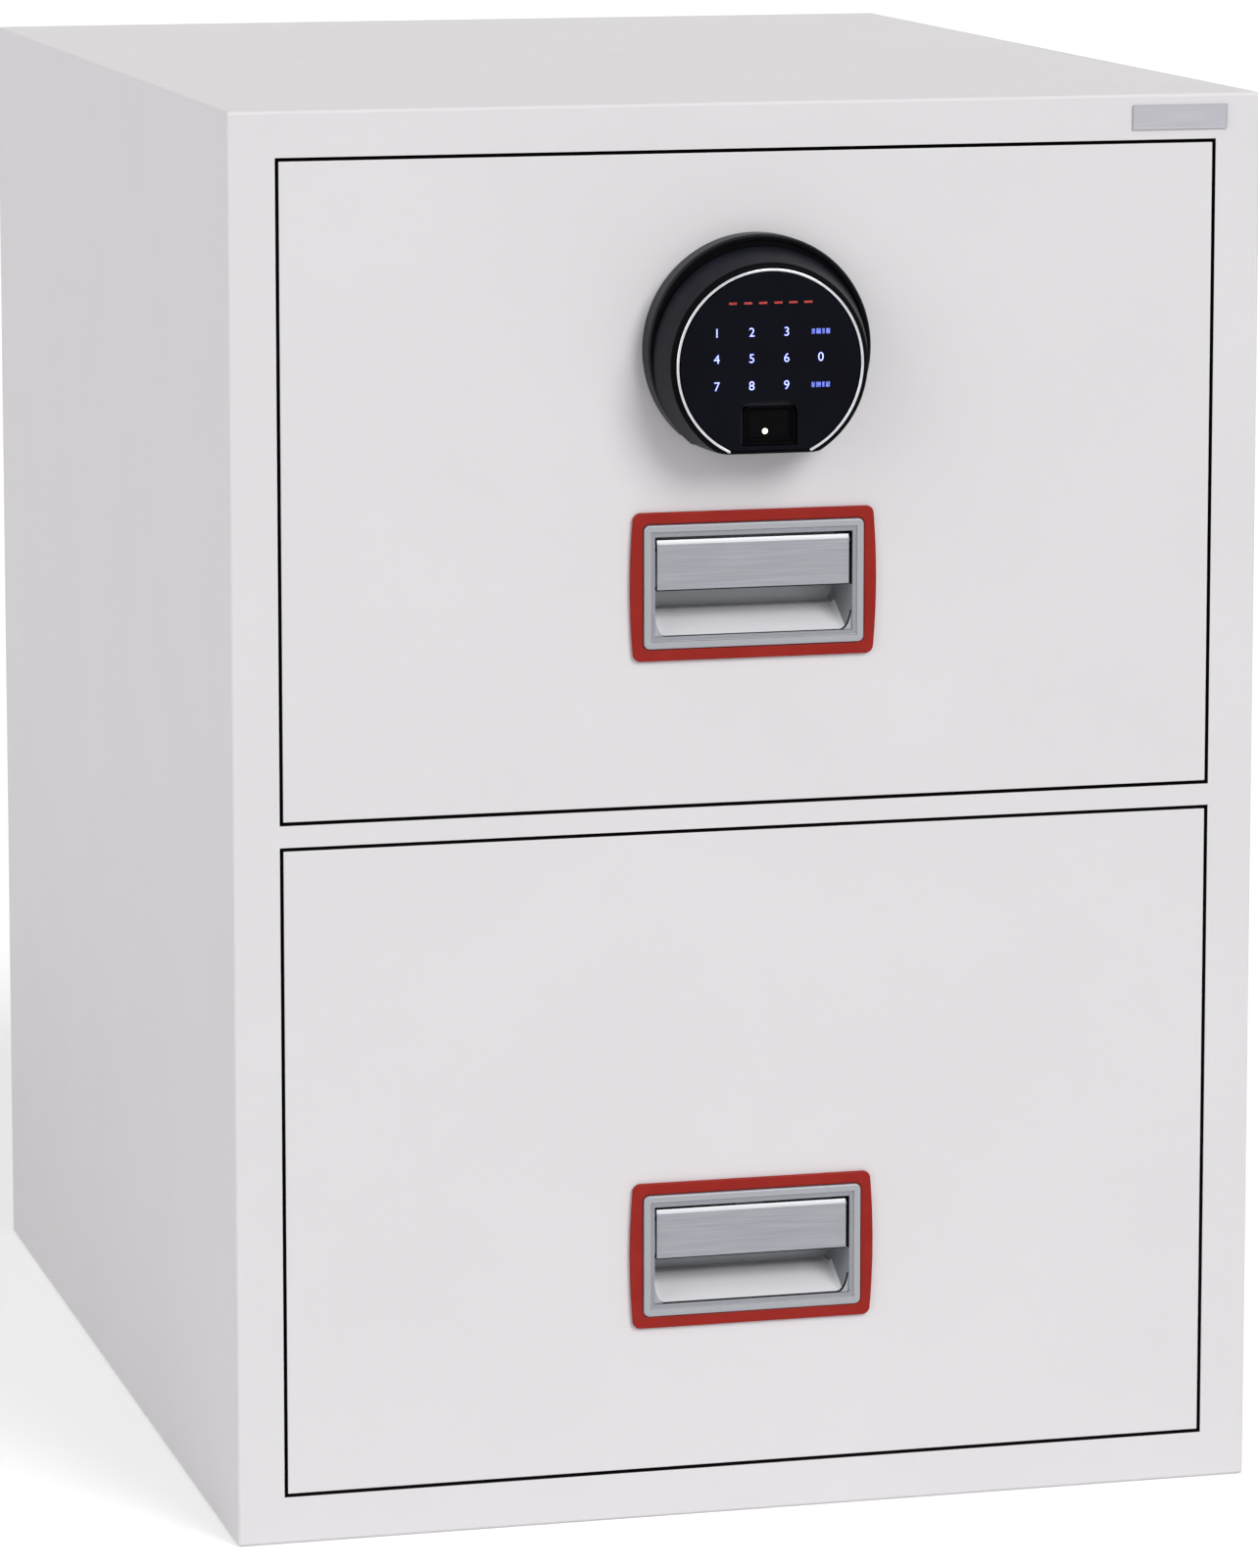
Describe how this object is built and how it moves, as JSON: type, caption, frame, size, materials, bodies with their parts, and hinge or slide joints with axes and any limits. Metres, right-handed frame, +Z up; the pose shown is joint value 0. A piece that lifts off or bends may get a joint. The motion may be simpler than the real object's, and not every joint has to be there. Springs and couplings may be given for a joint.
{
  "type": "fireproof filing cabinet",
  "caption": "Squat white steel fire file with flush drawers on telescopic slides, red-edged recessed lever handles and a round electronic keypad lock.",
  "frame": {"origin": "middle of the cabinet's base, on the floor", "axes": "+Z up, -Y towards the drawer fronts and the way the drawers pull out, +X to the right seen from the front"},
  "size_m": [0.53, 0.7099, 0.716],
  "materials": {
    "white_paint": "fine-textured white powder coat on steel",
    "lining_paint": "light grey powder coat on steel",
    "insulation": null,
    "fire_seal": "matt graphite strip that swells in heat",
    "zinc_steel": "bright zinc plate",
    "plate_metal": "brushed, bare",
    "red_plastic": "satin dark red moulding",
    "silver_paint": "silver-grey paint on a moulding",
    "brushed_flap": "satin anodised, lightly brushed",
    "black_plastic": "satin black moulding",
    "black_gloss": "high-gloss black touch panel",
    "chrome_ring": "bright chrome",
    "board_green": "green solder mask",
    "battery_wrap": "plain shrink-wrapped cells",
    "lead_rubber": "black cable sheath"
  },
  "bodies": {
    "cabinet": {"outer_casing": "white_paint", "back_panel": "white_paint", "fire_insulation": "insulation", "name_plate": "plate_metal", "bolt_ferrule": "zinc_steel", "upper_bay_liner": "lining_paint", "upper_latch_keeper": "zinc_steel", "upper_left_cabinet_slide": "zinc_steel", "upper_right_cabinet_slide": "zinc_steel", "lower_bay_liner": "lining_paint", "lower_latch_keeper": "zinc_steel", "lower_left_cabinet_slide": "zinc_steel", "lower_right_cabinet_slide": "zinc_steel"},
    "upper_drawer": {"upper_head_skin": "white_paint", "upper_head_inner_pan": "lining_paint", "upper_head_insulation": "insulation", "upper_fire_seal": "fire_seal", "upper_tray": "lining_paint", "upper_left_drawer_slide": "zinc_steel", "upper_right_drawer_slide": "zinc_steel", "upper_left_file_rail": "zinc_steel", "upper_right_file_rail": "zinc_steel", "upper_handle_bezel": "red_plastic", "upper_handle_cup": "silver_paint", "upper_flap_pin": "zinc_steel", "upper_flap_spring": "zinc_steel", "lock_case": "zinc_steel", "keypad_lead": "lead_rubber", "keypad_base": "black_plastic", "keypad_housing": "black_plastic", "chrome_ring": "chrome_ring", "touch_panel": "black_gloss", "fingerprint_sensor": "black_gloss", "circuit_board": "board_green", "battery_pack": "battery_wrap"},
    "lower_drawer": {"lower_head_skin": "white_paint", "lower_head_inner_pan": "lining_paint", "lower_head_insulation": "insulation", "lower_fire_seal": "fire_seal", "lower_tray": "lining_paint", "lower_left_drawer_slide": "zinc_steel", "lower_right_drawer_slide": "zinc_steel", "lower_left_file_rail": "zinc_steel", "lower_right_file_rail": "zinc_steel", "lower_handle_bezel": "red_plastic", "lower_handle_cup": "silver_paint", "lower_flap_pin": "zinc_steel", "lower_flap_spring": "zinc_steel"},
    "upper_middle_slides": {"upper_left_middle_slide": "zinc_steel", "upper_right_middle_slide": "zinc_steel"},
    "lower_middle_slides": {"lower_left_middle_slide": "zinc_steel", "lower_right_middle_slide": "zinc_steel"},
    "upper_flap": {"upper_handle_flap": "brushed_flap"},
    "lower_flap": {"lower_handle_flap": "brushed_flap"},
    "upper_latch": {"upper_latch_bar": "zinc_steel"},
    "lower_latch": {"lower_latch_bar": "zinc_steel"},
    "bolt": {"lock_bolt": "zinc_steel"}
  },
  "joints": [
    {"name": "upper_drawer_slide", "type": "slide", "parent": "cabinet", "child": "upper_drawer", "axis": [0, -1, 0], "range_m": [0, 0.5]},
    {"name": "lower_drawer_slide", "type": "slide", "parent": "cabinet", "child": "lower_drawer", "axis": [0, -1, 0], "range_m": [0, 0.5]},
    {"name": "upper_middle_slide", "type": "slide", "parent": "cabinet", "child": "upper_middle_slides", "axis": [0, -1, 0], "range_m": [0, 0.25]},
    {"name": "lower_middle_slide", "type": "slide", "parent": "cabinet", "child": "lower_middle_slides", "axis": [0, -1, 0], "range_m": [0, 0.25]},
    {"name": "upper_flap_hinge", "type": "hinge", "parent": "upper_drawer", "child": "upper_flap", "pos_m": [0, -0.3355, 0.4961], "axis": [-1, 0, 0], "range_deg": [0, 28], "stiffness_Nm_per_rad": 0.08, "springref_deg": -22.92},
    {"name": "lower_flap_hinge", "type": "hinge", "parent": "lower_drawer", "child": "lower_flap", "pos_m": [0, -0.3355, 0.1561], "axis": [-1, 0, 0], "range_deg": [0, 28], "stiffness_Nm_per_rad": 0.08, "springref_deg": -22.92},
    {"name": "upper_latch_slide", "type": "slide", "parent": "upper_drawer", "child": "upper_latch", "axis": [1, 0, 0], "range_m": [0, 0.008]},
    {"name": "lower_latch_slide", "type": "slide", "parent": "lower_drawer", "child": "lower_latch", "axis": [1, 0, 0], "range_m": [0, 0.008]},
    {"name": "lock_bolt_slide", "type": "slide", "parent": "upper_drawer", "child": "bolt", "axis": [0, 0, -1], "range_m": [0, 0.024]}
  ],
  "couplings": [
    {"joint": "upper_middle_slide", "follows": "upper_drawer_slide", "ratio": 0.5},
    {"joint": "lower_middle_slide", "follows": "lower_drawer_slide", "ratio": 0.5},
    {"joint": "upper_flap_hinge", "follows": "upper_latch_slide", "rad_per_m": 61},
    {"joint": "lower_flap_hinge", "follows": "lower_latch_slide", "rad_per_m": 61}
  ]
}
